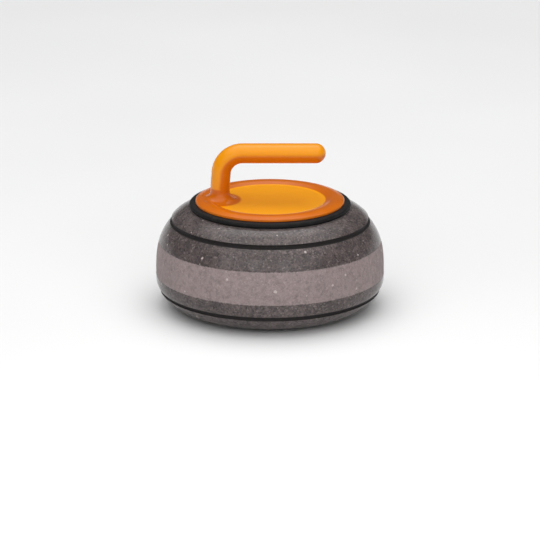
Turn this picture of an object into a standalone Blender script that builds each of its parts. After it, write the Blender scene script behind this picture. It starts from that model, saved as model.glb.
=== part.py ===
"""A curling stone with a screw-on plastic handle, as an assembly of separate pieces.

Metres, +Z up. The origin is on the stone's axis, at the level of the ice it stands on.
The handle's gooseneck rises on the -X side and its grip runs towards +X.

Three groups of pieces move as one each:
  stone    granite body, running insert, bond, sleeve, seat collar, centre bolt and its washers
  gasket   the rubber ring under the cap, which stays down on the granite and is dragged round
  handle   moulding, core, hub plate, thread bush, core nut and washer, plate screws
The handle screws off the centre bolt: it turns anticlockwise and rises by the thread's pitch.
"""

import math

import bmesh
import bpy
from mathutils import Matrix

MM = 0.001
TURN = 2 * math.pi

# Driving dimensions
GAP = 0.3 * MM  # between pieces that touch
STONE_RADIUS = 145 * MM  # 911 mm round, under the sport's limit of 914 mm
WIDEST_Z = 45.5 * MM
LEDGE_Z = 129 * MM  # top of the granite, where the gasket sits
BAND_INNER, BAND_OUTER = 62 * MM, 68 * MM  # the running band that meets the ice
BOLT_RADIUS = 4.76 * MM  # a 3/8 inch bolt
THREAD_PITCH = 1.5875 * MM  # 16 threads to the inch
THREAD_TURNS = 7.75  # turns of the handle from tight to free
CAP_RADIUS = 94 * MM
CAP_Z = 138 * MM  # the dish in the top of the handle's round cap
GRIP_Z = 198.5 * MM  # centreline of the grip
GRIP_END_X = 70 * MM
NECK_X = -63 * MM  # where the gooseneck stands on the cap

# Granite body: a side wall between two turned edges
UPPER_EDGE_R, UPPER_EDGE_Z = 126.6 * MM, 110.5 * MM
LOWER_EDGE_R, LOWER_EDGE_Z = 141.9 * MM, 28.5 * MM
UPPER_BULGE, LOWER_BULGE, BASE_BULGE = 3.1, 3.4, 3.8  # powers of the outline's curves
GROOVE_WIDTH, GROOVE_DEPTH = 5.2 * MM, 2.8 * MM
GROOVE_STEP = 1.9 * MM  # how far the wall steps in across a groove
SHOULDER_TOP_R = 102.5 * MM
CUP_FLOOR_Z, CUP_FLOOR_R, CUP_RIM_R = 116 * MM, 79 * MM, 85.5 * MM
BORE_RADIUS = 8.5 * MM
BODY_BASE_Z = 1.0 * MM

# Running insert, bonded into the base
INSERT_RADIUS, INSERT_TOP = 76 * MM, 28 * MM
BOND_THICKNESS = 0.8 * MM
BOLT_POCKET_R, BOLT_POCKET_Z = 17 * MM, 22.5 * MM

# Centre bolt and washers
HEAD_SIDE, HEAD_HEIGHT = 15.9 * MM, 6.4 * MM
LOCK_WASHER_R, LOCK_WASHER_T = 8.6 * MM, 2.2 * MM
FLAT_WASHER_R, FLAT_WASHER_T = 16 * MM, 2.2 * MM
CUSHION_R, CUSHION_T = 16.4 * MM, 2.3 * MM
WASHER_HOLE_R = 5.2 * MM

# Seat collar that centres the handle in the stone
SEAT_RADIUS, SEAT_BOTTOM, SEAT_TOP = 16 * MM, 108.8 * MM, 119 * MM
SPIGOT_RADIUS, SPIGOT_BOTTOM = 9 * MM, 114.5 * MM

# Handle gasket
GASKET_INNER, GASKET_OUTER, GASKET_HEIGHT = 87 * MM, 102 * MM, 6.5 * MM

# Handle
RIM_BOTTOM = LEDGE_Z + GASKET_HEIGHT + 2 * GAP
SKIRT_INNER, SKIRT_OUTER, SKIRT_BOTTOM = 84 * MM, 86.5 * MM, 131 * MM  # centres the gasket
DISH_RADIUS = 70 * MM
UNDERSIDE_Z = 135.3 * MM
PLATE_RADIUS, PLATE_BOTTOM, PLATE_THICKNESS = 78 * MM, 128.4 * MM, 2.6 * MM
BOSS_BOTTOM = PLATE_BOTTOM + PLATE_THICKNESS + GAP
HUB_BOSS_R = 20 * MM
SCREW_CIRCLE_R, SCREW_COUNT = 50 * MM, 6
SCREW_RADIUS, SCREW_HEAD_R, SCREW_HEAD_H, SCREW_LENGTH = 2 * MM, 4 * MM, 2.4 * MM, 7 * MM
SCREW_BOSS_R = 5.5 * MM
RIB_THICKNESS = 2.5 * MM
BUSH_FLANGE_AF, BUSH_FLANGE_T = 26 * MM, 3.4 * MM  # across flats
GRIP_RADIUS, NECK_RADIUS, FLARE_RADIUS = 12.5 * MM, 12 * MM, 13 * MM
GRIP_WIDENING = 1.2  # the arm's section is this much wider in Y than it is tall
LEAN_DEG, LEAN_RADIUS, BEND_RADIUS = 5, 120 * MM, 27 * MM
CORE_RADIUS, CORE_BOTTOM, CORE_END_X = 4.5 * MM, 119.2 * MM, 54 * MM
CORE_FLANGE_R, CORE_FLANGE_T = 9 * MM, 3 * MM
CORE_NUT_AF, CORE_NUT_H, CORE_WASHER_T = 15 * MM, 5 * MM, 1.5 * MM

BODY_STEPS, PIECE_STEPS, SCREW_STEPS = 48, 32, 12  # facets round a turned piece

BOLT_TIP = SPIGOT_BOTTOM + THREAD_PITCH * THREAD_TURNS
CUSHION_BOTTOM = BOLT_POCKET_Z - GAP - CUSHION_T
FLAT_WASHER_BOTTOM = CUSHION_BOTTOM - GAP - FLAT_WASHER_T
LOCK_WASHER_BOTTOM = FLAT_WASHER_BOTTOM - GAP - LOCK_WASHER_T
HEAD_TOP = LOCK_WASHER_BOTTOM - GAP


# Scene, materials and objects


def empty_scene():
    for obj in list(bpy.data.objects):
        bpy.data.objects.remove(obj)


def collection(name):
    made = bpy.data.collections.new(name)
    bpy.context.scene.collection.children.link(made)
    return made


def material(name, colour, roughness, metallic=0.0):
    made = bpy.data.materials.new(name)
    made.use_nodes = True
    shader = made.node_tree.nodes["Principled BSDF"]
    shader.inputs["Base Color"].default_value = (*colour, 1.0)
    shader.inputs["Roughness"].default_value = roughness
    shader.inputs["Metallic"].default_value = metallic
    made.diffuse_color = (*colour, 1.0)
    return made


def add(name, mesh, look=None):
    """A new object for a piece, in the stone's collection."""
    obj = bpy.data.objects.new(name, mesh)
    STONE.objects.link(obj)
    if look is not None:
        mesh.materials.clear()
        mesh.materials.append(look)
    return obj


def shade_round(obj, angle_deg=35):
    obj.data.shade_smooth()
    obj.data.set_sharp_from_angle(angle=math.radians(angle_deg))


def helper(obj):
    """Marks an object as a cutter or a guide, which isn't part of the stone."""
    for owner in list(obj.users_collection):
        owner.objects.unlink(obj)
    CUTTERS.objects.link(obj)
    obj.hide_render = True
    obj.display_type = "WIRE"
    return obj


def baked_mesh(obj, weld=False):
    """The object's evaluated mesh, in its own coordinates, with loose caps welded if asked."""
    bpy.context.view_layer.update()
    graph = bpy.context.evaluated_depsgraph_get()
    mesh = bpy.data.meshes.new_from_object(obj.evaluated_get(graph))
    if weld:
        bm = bmesh.new()
        bm.from_mesh(mesh)
        bmesh.ops.remove_doubles(bm, verts=bm.verts, dist=0.001 * MM)
        bmesh.ops.recalc_face_normals(bm, faces=bm.faces)
        bm.to_mesh(mesh)
        bm.free()
    return mesh


# Shapes


def turned(name, outline, look=None, steps=PIECE_STEPS):
    """A piece turned about Z from an outline of (radius, height) points.

    An outline that starts and ends on the axis is left open there, and any other is closed.
    """
    area = sum(
        a[0] * b[1] - b[0] * a[1] for a, b in zip(outline, outline[1:] + outline[:1])
    )
    points = outline if area < 0 else outline[::-1]
    on_axis = points[0][0] == 0 and points[-1][0] == 0
    mesh = bpy.data.meshes.new(name)
    count = len(points)
    edges = [(i, (i + 1) % count) for i in range(count - 1 if on_axis else count)]
    mesh.from_pydata([(r, 0, z) for r, z in points], edges, [])
    obj = add(name, mesh, look)
    screw = obj.modifiers.new("Turn", "SCREW")
    screw.axis = "Z"
    screw.angle = TURN
    screw.steps = steps
    screw.render_steps = steps
    screw.use_merge_vertices = True
    screw.merge_threshold = 0.01 * MM
    obj.data = baked_mesh(obj)
    obj.modifiers.clear()
    shade_round(obj)
    return obj


def ring_outline(inner, outer, bottom, top):
    return [(outer, top), (outer, bottom), (inner, bottom), (inner, top)]


def bmesh_object(name, build, look=None):
    """A piece whose mesh is filled in by build(bm)."""
    bm = bmesh.new()
    build(bm)
    mesh = bpy.data.meshes.new(name)
    bm.to_mesh(mesh)
    bm.free()
    return add(name, mesh, look)


def add_cylinder(bm, x, y, bottom, top, radius, sides=SCREW_STEPS, turn=0.0):
    """A prism of so many sides, or a cylinder, standing at (x, y)."""
    place = Matrix.Translation((x, y, (bottom + top) / 2)) @ Matrix.Rotation(turn, 4, "Z")
    bmesh.ops.create_cone(
        bm,
        cap_ends=True,
        segments=sides,
        radius1=radius,
        radius2=radius,
        depth=top - bottom,
        matrix=place,
    )


def add_box(bm, low, high, turn=0.0):
    """A box between two corners, turned about the Z axis through the origin."""
    size = [h - l for l, h in zip(low, high)]
    middle = [(l + h) / 2 for l, h in zip(low, high)]
    place = (
        Matrix.Rotation(turn, 4, "Z")
        @ Matrix.Translation(middle)
        @ Matrix.Diagonal((*size, 1))
    )
    bmesh.ops.create_cube(bm, size=1, matrix=place)


def boolean(obj, other, operation):
    """Cuts or joins obj with other, which becomes a helper, and keeps the result as obj's mesh."""
    look = obj.active_material
    helper(other)
    change = obj.modifiers.new(operation.title(), "BOOLEAN")
    change.operation = operation
    change.solver = "EXACT"
    change.object = other
    obj.data = baked_mesh(obj)
    obj.modifiers.clear()
    if look is not None:
        obj.data.materials.clear()
        obj.data.materials.append(look)
    shade_round(obj)
    return obj


def chamfer(obj, width, angle_deg=60):
    bevel = obj.modifiers.new("Chamfer", "BEVEL")
    bevel.width = width
    bevel.segments = 1
    bevel.limit_method = "ANGLE"
    bevel.angle_limit = math.radians(angle_deg)
    obj.data = baked_mesh(obj)
    obj.modifiers.clear()
    return obj


def round_places(radius, count, first_deg=0.0):
    """(x, y) of count places evenly round a circle."""
    for i in range(count):
        angle = math.radians(first_deg) + TURN * i / count
        yield radius * math.cos(angle), radius * math.sin(angle)


# The stone


def power_curve(start, end, power, steps):
    """Points from start to end, where the height moves evenly and the radius by a power of it."""
    (r0, z0), (r1, z1) = start, end
    shares = [i / steps for i in range(steps + 1)]
    return [(r0 + (r1 - r0) * s**power, z0 + (z1 - z0) * s) for s in shares]


def base_curve(rim, edge, power, steps):
    """Points from edge down to rim, where the radius moves evenly and the height by a power."""
    turned_round = power_curve(rim[::-1], edge[::-1], power, steps)
    return [(r, z) for z, r in turned_round[::-1]]


def groove(edge, direction):
    """A shallow turned groove that starts at edge and runs down (-1) or up (1) the wall."""
    r, z = edge
    return [
        (r, z),
        (r - GROOVE_DEPTH, z + direction * 0.3 * GROOVE_WIDTH),
        (r - GROOVE_DEPTH, z + direction * 0.7 * GROOVE_WIDTH),
    ]


def body_outline():
    """The granite's outside, from the ledge at the top down to the rim of the insert's recess."""
    widest = (STONE_RADIUS, WIDEST_Z)
    upper = (UPPER_EDGE_R, UPPER_EDGE_Z)
    lower = (LOWER_EDGE_R, LOWER_EDGE_Z)
    shoulder_foot = (UPPER_EDGE_R - GROOVE_STEP, UPPER_EDGE_Z + GROOVE_WIDTH)
    base_top = (LOWER_EDGE_R - GROOVE_STEP, LOWER_EDGE_Z - GROOVE_WIDTH)
    base_end = (recess_radius(), BODY_BASE_Z)
    shoulder_middle = (115 * MM, 123 * MM)
    above = power_curve(widest, upper, UPPER_BULGE, 7)[::-1]
    below = power_curve(widest, lower, LOWER_BULGE, 3)
    base = base_curve(base_end, base_top, BASE_BULGE, 5)
    return (
        [(SHOULDER_TOP_R, LEDGE_Z), shoulder_middle, shoulder_foot]
        + groove(upper, 1)[::-1][:2]
        + above
        + below[1:]
        + groove(lower, -1)[1:]
        + base
    )


def recess_radius():
    return INSERT_RADIUS + 2 * GAP + BOND_THICKNESS


def granite_body():
    recess_top = INSERT_TOP + 2 * GAP + BOND_THICKNESS
    seat_floor = SEAT_BOTTOM - GAP
    inside = [
        (recess_radius(), recess_top),
        (BORE_RADIUS, recess_top),
        (BORE_RADIUS, seat_floor),
        (SEAT_RADIUS + GAP, seat_floor),
        (SEAT_RADIUS + GAP, CUP_FLOOR_Z),
        (CUP_FLOOR_R, CUP_FLOOR_Z),
        (CUP_RIM_R - 1.5 * MM, LEDGE_Z - 1.5 * MM),
        (CUP_RIM_R, LEDGE_Z),
    ]
    return turned("granite_body", body_outline() + inside, POLISHED_GRANITE, BODY_STEPS)


def running_insert():
    outline = [
        (INSERT_RADIUS, INSERT_TOP),
        (INSERT_RADIUS, 0.9 * MM),
        (BAND_OUTER, 0),
        (BAND_INNER, 0),
        (57 * MM, 3.2 * MM),
        (45 * MM, 4.8 * MM),
        (BOLT_POCKET_R + 0.8 * MM, 5.4 * MM),
        (BOLT_POCKET_R, 6.2 * MM),
        (BOLT_POCKET_R, BOLT_POCKET_Z),
        (BORE_RADIUS, BOLT_POCKET_Z),
        (BORE_RADIUS, INSERT_TOP),
    ]
    return turned("running_insert", outline, FINE_GRANITE, BODY_STEPS)


def insert_bond():
    """The epoxy layer over the insert's top and side."""
    inner = INSERT_RADIUS + GAP
    bottom, top = 1.6 * MM, INSERT_TOP + GAP + BOND_THICKNESS
    outline = [
        (inner + BOND_THICKNESS, top),
        (inner + BOND_THICKNESS, bottom),
        (inner, bottom),
        (inner, INSERT_TOP + GAP),
        (BORE_RADIUS, INSERT_TOP + GAP),
        (BORE_RADIUS, top),
    ]
    return turned("insert_bond", outline, EPOXY, BODY_STEPS)


def bore_sleeve():
    bottom, top = BOLT_POCKET_Z + 0.1 * MM, SEAT_BOTTOM - 2 * GAP
    return turned(
        "bore_sleeve", ring_outline(WASHER_HOLE_R, BORE_RADIUS - GAP, bottom, top), NYLON
    )


def seat_collar():
    """The plastic collar that takes the thread bush's spigot and passes the bolt."""
    ledge = SPIGOT_BOTTOM - 2 * MM
    spigot_hole = SPIGOT_RADIUS + GAP
    outline = [
        (SEAT_RADIUS - 1 * MM, SEAT_TOP),
        (SEAT_RADIUS, SEAT_TOP - 1 * MM),
        (SEAT_RADIUS, SEAT_BOTTOM),
        (WASHER_HOLE_R, SEAT_BOTTOM),
        (WASHER_HOLE_R, ledge),
        (spigot_hole, ledge),
        (spigot_hole, SEAT_TOP - 0.8 * MM),
        (spigot_hole + 0.8 * MM, SEAT_TOP),
    ]
    return turned("seat_collar", outline, NYLON)


# Centre bolt and washers


def centre_bolt():
    tip_chamfer = 1 * MM
    outline = [
        (0, BOLT_TIP),
        (BOLT_RADIUS - tip_chamfer, BOLT_TIP),
        (BOLT_RADIUS, BOLT_TIP - tip_chamfer),
        (BOLT_RADIUS, HEAD_TOP - 2 * MM),
        (0, HEAD_TOP - 2 * MM),
    ]
    bolt = turned("centre_bolt", outline, ZINC_STEEL, 24)
    half = HEAD_SIDE / 2
    head = bmesh_object(
        "bolt_head_shape",
        lambda bm: add_box(bm, (-half, -half, HEAD_TOP - HEAD_HEIGHT), (half, half, HEAD_TOP)),
    )
    chamfer(head, 0.8 * MM)
    return boolean(bolt, head, "UNION")


def bolt_washers():
    flat_top = FLAT_WASHER_BOTTOM + FLAT_WASHER_T
    turned(
        "bolt_cushion_washer",
        ring_outline(WASHER_HOLE_R, CUSHION_R, CUSHION_BOTTOM, CUSHION_BOTTOM + CUSHION_T),
        RUBBER,
    )
    turned(
        "bolt_flat_washer",
        ring_outline(WASHER_HOLE_R, FLAT_WASHER_R, FLAT_WASHER_BOTTOM, flat_top),
        ZINC_STEEL,
    )
    lock_top = LOCK_WASHER_BOTTOM + LOCK_WASHER_T
    lock = turned(
        "bolt_lock_washer",
        ring_outline(WASHER_HOLE_R, LOCK_WASHER_R, LOCK_WASHER_BOTTOM, lock_top),
        ZINC_STEEL,
    )
    split = bmesh_object(
        "lock_washer_split",
        lambda bm: add_box(
            bm,
            (0, -0.6 * MM, LOCK_WASHER_BOTTOM - 1 * MM),
            (LOCK_WASHER_R + 2 * MM, 0.6 * MM, lock_top + 1 * MM),
            math.radians(40),
        ),
    )
    boolean(lock, split, "DIFFERENCE")


def handle_gasket():
    """A rubber ring whose rounded outer edge shows all round, under the cap."""
    bottom, top = LEDGE_Z + GAP, LEDGE_Z + GAP + GASKET_HEIGHT
    half = GASKET_HEIGHT / 2
    edge = [
        (
            GASKET_OUTER - half + half * math.cos(math.radians(angle)),
            bottom + half + half * math.sin(math.radians(angle)),
        )
        for angle in (90, 45, 0, -45, -90)
    ]
    outline = edge + [(GASKET_INNER, bottom), (GASKET_INNER, top)]
    return turned("handle_gasket", outline, RUBBER, BODY_STEPS)


# The handle


def arm_route(bottom, end_x):
    """(x, z) points up the gooseneck and along the grip, from height bottom to end_x.

    Straight up through the cap and the flare, a slight lean, the bend, then level.
    """
    lean = math.radians(LEAN_DEG)
    flare = [math.radians(18 * i) for i in range(6)]
    points = [(NECK_X, bottom)]
    points += [(NECK_X, CAP_Z + FLARE_RADIUS * (1 - math.cos(a))) for a in flare]
    x, z = points[-1]
    points.append((x + LEAN_RADIUS * (1 - math.cos(lean)), z + LEAN_RADIUS * math.sin(lean)))
    x, z = points[-1]
    rise = GRIP_Z - z - BEND_RADIUS * (1 - math.sin(lean))
    x, z = x + rise * math.tan(lean), z + rise
    bend_steps = 8
    for i in range(bend_steps + 1):
        heading = (math.pi / 2 - lean) * (1 - i / bend_steps)
        points.append(
            (
                x + BEND_RADIUS * (math.cos(lean) - math.sin(heading)),
                z + BEND_RADIUS * (math.cos(heading) - math.sin(lean)),
            )
        )
    points.append((end_x, GRIP_Z))
    return points


def arm_radius(z):
    """Half the arm's height at a point of its route: flared at the cap, then neck, then grip."""
    above_cap = z - CAP_Z
    if above_cap < FLARE_RADIUS:
        drop = FLARE_RADIUS - max(above_cap, 0)
        return NECK_RADIUS + FLARE_RADIUS - math.sqrt(FLARE_RADIUS**2 - drop**2)
    share = (z - CAP_Z - FLARE_RADIUS) / (GRIP_Z - CAP_Z - FLARE_RADIUS)
    return NECK_RADIUS + (GRIP_RADIUS - NECK_RADIUS) * share


def tube(name, points, radii, sides_setting):
    """A mesh tube through (x, z) points in the plane Y = 0, with a radius at each."""
    curve = bpy.data.curves.new(name + "_curve", "CURVE")
    curve.dimensions = "3D"
    curve.bevel_depth = 1
    curve.bevel_resolution = sides_setting
    curve.use_fill_caps = True
    spline = curve.splines.new("POLY")
    spline.points.add(len(points) - 1)
    for spot, (x, z), radius in zip(spline.points, points, radii):
        spot.co = (x, 0, z, 1)
        spot.radius = radius
    guide = bpy.data.objects.new(name + "_curve", curve)
    STONE.objects.link(guide)
    mesh = baked_mesh(guide, weld=True)
    bpy.data.objects.remove(guide)
    return add(name, mesh)


def arm_shape():
    """The gooseneck and grip as one tube with a rounded end."""
    straight_end = GRIP_END_X - GRIP_RADIUS
    points = arm_route(RIM_BOTTOM + GAP, straight_end)
    radii = [arm_radius(z) for _, z in points]
    for angle in (25, 45, 62, 76):
        a = math.radians(angle)
        points.append((straight_end + GRIP_RADIUS * math.sin(a), GRIP_Z))
        radii.append(GRIP_RADIUS * math.cos(a))
    points.append((GRIP_END_X, GRIP_Z))
    radii.append(GRIP_RADIUS * 0.12)
    arm = tube("arm_shape", points, radii, 6)
    arm.data.transform(Matrix.Diagonal((1, GRIP_WIDENING, 1, 1)))
    return arm


def moulding_struts(bm):
    """Screw bosses, the neck's foot boss and the radial ribs, all under the cap."""
    for x, y in round_places(SCREW_CIRCLE_R, SCREW_COUNT, 30):
        add_cylinder(bm, x, y, BOSS_BOTTOM, UNDERSIDE_Z + 1 * MM, SCREW_BOSS_R)
    add_cylinder(bm, NECK_X, 0, BOSS_BOTTOM, UNDERSIDE_Z + 1 * MM, 13 * MM, 24)
    half, rib_bottom = RIB_THICKNESS / 2, BOSS_BOTTOM + 1.5 * MM
    for i in range(SCREW_COUNT):
        if i != SCREW_COUNT // 2:
            add_box(
                bm,
                (HUB_BOSS_R - 1 * MM, -half, rib_bottom),
                (PLATE_RADIUS + 2 * MM, half, UNDERSIDE_Z + 1 * MM),
                TURN * i / SCREW_COUNT,
            )


def moulding_pockets(bm):
    """Pilot holes for the plate screws, the bush's hexagon and the core's flange."""
    below = BOSS_BOTTOM - 1 * MM
    for x, y in round_places(SCREW_CIRCLE_R, SCREW_COUNT, 30):
        add_cylinder(bm, x, y, below, PLATE_BOTTOM + SCREW_LENGTH + 2 * GAP, SCREW_RADIUS + GAP)
    hexagon = (BUSH_FLANGE_AF / 2 + GAP) / math.cos(math.pi / 6)
    add_cylinder(bm, 0, 0, below, BOSS_BOTTOM + BUSH_FLANGE_T + GAP, hexagon, 6)
    flange = CORE_FLANGE_R + GAP
    add_cylinder(bm, NECK_X, 0, below, BOSS_BOTTOM + CORE_FLANGE_T + GAP, flange, 24)


def handle_moulding():
    """Cap, gooseneck and grip in one plastic moulding, hollow underneath and cored for the rod."""
    cap = [
        (0, CAP_Z),
        (DISH_RADIUS, CAP_Z + 0.3 * MM),
        (DISH_RADIUS + 8 * MM, CAP_Z + 3.1 * MM),
        (DISH_RADIUS + 13 * MM, CAP_Z + 3.5 * MM),
        (CAP_RADIUS - 5 * MM, CAP_Z + 2.5 * MM),
        (CAP_RADIUS - 1.3 * MM, CAP_Z + 0.7 * MM),
        (CAP_RADIUS, CAP_Z - 0.9 * MM),
        (CAP_RADIUS, RIM_BOTTOM),
        (SKIRT_OUTER, RIM_BOTTOM),
        (SKIRT_OUTER, SKIRT_BOTTOM),
        (SKIRT_INNER, SKIRT_BOTTOM),
        (SKIRT_INNER, UNDERSIDE_Z),
        (HUB_BOSS_R, UNDERSIDE_Z),
        (HUB_BOSS_R, BOSS_BOTTOM),
        (0, BOSS_BOTTOM),
    ]
    moulding = turned("handle_moulding", cap, ORANGE_PLASTIC, BODY_STEPS)
    boolean(moulding, arm_shape(), "UNION")
    boolean(moulding, bmesh_object("moulding_struts", moulding_struts), "UNION")
    boolean(moulding, bmesh_object("moulding_pockets", moulding_pockets), "DIFFERENCE")
    route = arm_route(BOSS_BOTTOM - 1 * MM, CORE_END_X + GAP)
    cavity = tube("core_cavity", route, [CORE_RADIUS + GAP] * len(route), 3)
    return boolean(moulding, cavity, "DIFFERENCE")


def handle_core():
    """The bent steel rod inside the handle, with the flange that bears on the hub plate."""
    route = arm_route(CORE_BOTTOM, CORE_END_X)
    core = tube("handle_core", route, [CORE_RADIUS] * len(route), 3)
    core.data.materials.append(ZINC_STEEL)
    flange = bmesh_object(
        "core_flange_shape",
        lambda bm: add_cylinder(
            bm, NECK_X, 0, BOSS_BOTTOM, BOSS_BOTTOM + CORE_FLANGE_T, CORE_FLANGE_R, 24
        ),
    )
    return boolean(core, flange, "UNION")


def plate_holes(bm):
    below, above = PLATE_BOTTOM - 2 * MM, BOSS_BOTTOM + 2 * MM
    for x, y in round_places(SCREW_CIRCLE_R, SCREW_COUNT, 30):
        add_cylinder(bm, x, y, below, above, SCREW_RADIUS + GAP)
    add_cylinder(bm, NECK_X, 0, below, above, CORE_RADIUS + GAP, 16)
    for x, y in round_places(30 * MM, SCREW_COUNT):
        add_cylinder(bm, x, y, below, above, 6 * MM, 16)


def hub_plate():
    """The steel disc that joins the bush, the core and the moulding."""
    outline = ring_outline(
        SPIGOT_RADIUS + GAP, PLATE_RADIUS, PLATE_BOTTOM, PLATE_BOTTOM + PLATE_THICKNESS
    )
    plate = turned("hub_plate", outline, ZINC_STEEL, BODY_STEPS)
    return boolean(plate, bmesh_object("plate_holes", plate_holes), "DIFFERENCE")


def thread_bush():
    """The brass bush that the bolt screws into: a hexagon over the plate, a spigot under it."""
    thread_r = BOLT_RADIUS + GAP
    flange_top = BOSS_BOTTOM + BUSH_FLANGE_T
    spigot = [
        (SPIGOT_RADIUS, flange_top - 0.5 * MM),
        (SPIGOT_RADIUS, SPIGOT_BOTTOM + 1 * MM),
        (SPIGOT_RADIUS - 1 * MM, SPIGOT_BOTTOM),
        (0, SPIGOT_BOTTOM),
    ]
    bush = turned("thread_bush", [(0, flange_top - 0.5 * MM)] + spigot, BRASS, 24)
    flange = bmesh_object(
        "bush_flange_shape",
        lambda bm: add_cylinder(
            bm, 0, 0, BOSS_BOTTOM, flange_top, BUSH_FLANGE_AF / 2 / math.cos(math.pi / 6), 6
        ),
    )
    boolean(bush, flange, "UNION")
    thread = bmesh_object(
        "bush_thread_shape",
        lambda bm: add_cylinder(
            bm, 0, 0, SPIGOT_BOTTOM - 1 * MM, BOLT_TIP + 2 * MM, thread_r, 24
        ),
    )
    return boolean(bush, thread, "DIFFERENCE")


def core_fasteners():
    washer_top = PLATE_BOTTOM - GAP
    washer = turned(
        "core_washer",
        ring_outline(CORE_RADIUS + GAP, 8.5 * MM, washer_top - CORE_WASHER_T, washer_top),
        ZINC_STEEL,
        24,
    )
    washer.data.transform(Matrix.Translation((NECK_X, 0, 0)))
    nut_top = washer_top - CORE_WASHER_T - GAP
    corner = CORE_NUT_AF / 2 / math.cos(math.pi / 6)
    nut = bmesh_object(
        "core_nut",
        lambda bm: add_cylinder(bm, NECK_X, 0, nut_top - CORE_NUT_H, nut_top, corner, 6),
        ZINC_STEEL,
    )
    hole = bmesh_object(
        "core_nut_hole",
        lambda bm: add_cylinder(
            bm, NECK_X, 0, nut_top - CORE_NUT_H - 1 * MM, nut_top + 1 * MM, CORE_RADIUS + GAP, 16
        ),
    )
    boolean(nut, hole, "DIFFERENCE")


def plate_screws():
    """Pan-head screws up through the plate into the moulding's bosses, with a cross recess."""
    top = PLATE_BOTTOM - GAP
    head_bottom = top - SCREW_HEAD_H
    outline = [
        (0, top + SCREW_LENGTH),
        (SCREW_RADIUS, top + SCREW_LENGTH - 1.5 * MM),
        (SCREW_RADIUS, top),
        (SCREW_HEAD_R, top),
        (SCREW_HEAD_R, head_bottom + 1 * MM),
        (SCREW_HEAD_R - 1 * MM, head_bottom),
        (0, head_bottom),
    ]
    first = turned("plate_screw_1", outline, ZINC_STEEL, SCREW_STEPS)

    def cross_recess(bm):
        long, short, floor = 2.2 * MM, 0.5 * MM, head_bottom - 1 * MM
        corners = [
            (long, short), (short, short), (short, long), (-short, long),
            (-short, short), (-long, short), (-long, -short), (-short, -short),
            (-short, -long), (short, -long), (short, -short), (long, -short),
        ]
        face = bm.faces.new([bm.verts.new((x, y, floor)) for x, y in corners])
        grown = bmesh.ops.extrude_face_region(bm, geom=[face])["geom"]
        raised = [v for v in grown if isinstance(v, bmesh.types.BMVert)]
        bmesh.ops.translate(bm, verts=raised, vec=(0, 0, 2.4 * MM))
        bmesh.ops.recalc_face_normals(bm, faces=bm.faces)

    boolean(first, bmesh_object("screw_recess", cross_recess), "DIFFERENCE")
    for i, (x, y) in enumerate(round_places(SCREW_CIRCLE_R, SCREW_COUNT, 30), 1):
        screw = first if i == 1 else add(f"plate_screw_{i}", first.data.copy())
        screw.location = (x, y, 0)


empty_scene()
STONE = collection("curling_stone")
CUTTERS = collection("cutters")

POLISHED_GRANITE = material("polished_granite", (0.14, 0.13, 0.13), 0.2)
FINE_GRANITE = material("fine_granite", (0.09, 0.1, 0.11), 0.35)
EPOXY = material("epoxy", (0.25, 0.22, 0.17), 0.5)
NYLON = material("nylon", (0.75, 0.73, 0.68), 0.5)
RUBBER = material("rubber", (0.015, 0.015, 0.015), 0.7)
ZINC_STEEL = material("zinc_steel", (0.55, 0.55, 0.56), 0.35, 1.0)
BRASS = material("brass", (0.7, 0.5, 0.2), 0.3, 1.0)
ORANGE_PLASTIC = material("orange_plastic", (0.85, 0.31, 0.012), 0.3)

granite_body()
running_insert()
insert_bond()
bore_sleeve()
seat_collar()
centre_bolt()
bolt_washers()
handle_gasket()
handle_moulding()
handle_core()
hub_plate()
thread_bush()
core_fasteners()
plate_screws()
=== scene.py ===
"""Looks of the curling stone: fine meshes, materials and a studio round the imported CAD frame.

Metres, +Z up, in the CAD's own frame: the origin is on the stone's axis, at the level of the
ice. The handle's gooseneck rises on the -X side and its grip runs towards +X. Outlines of
turned pieces are in millimetres, as (radius, height, corner radius).
"""

import math

import bmesh
import bpy
import numpy as np
from mathutils import Matrix, Vector, noise


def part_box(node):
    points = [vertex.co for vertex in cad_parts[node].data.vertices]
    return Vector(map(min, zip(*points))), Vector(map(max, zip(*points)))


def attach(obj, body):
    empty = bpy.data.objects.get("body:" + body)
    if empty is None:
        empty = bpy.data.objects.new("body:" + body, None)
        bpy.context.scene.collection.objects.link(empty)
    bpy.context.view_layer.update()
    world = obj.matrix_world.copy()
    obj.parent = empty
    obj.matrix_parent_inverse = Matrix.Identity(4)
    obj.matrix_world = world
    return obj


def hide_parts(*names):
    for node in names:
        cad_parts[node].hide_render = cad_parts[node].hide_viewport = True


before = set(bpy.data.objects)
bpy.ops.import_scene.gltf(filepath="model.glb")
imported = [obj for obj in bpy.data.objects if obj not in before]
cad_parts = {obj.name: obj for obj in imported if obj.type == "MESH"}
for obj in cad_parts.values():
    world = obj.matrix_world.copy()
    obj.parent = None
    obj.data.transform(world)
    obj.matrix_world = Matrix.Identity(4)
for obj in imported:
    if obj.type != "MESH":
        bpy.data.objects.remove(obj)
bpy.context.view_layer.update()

MM = 0.001
TURN = 2 * math.pi


def low(node):
    """A CAD node's lowest corner, in millimetres."""
    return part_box(node)[0] / MM


def high(node):
    """A CAD node's highest corner, in millimetres."""
    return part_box(node)[1] / MM


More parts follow.
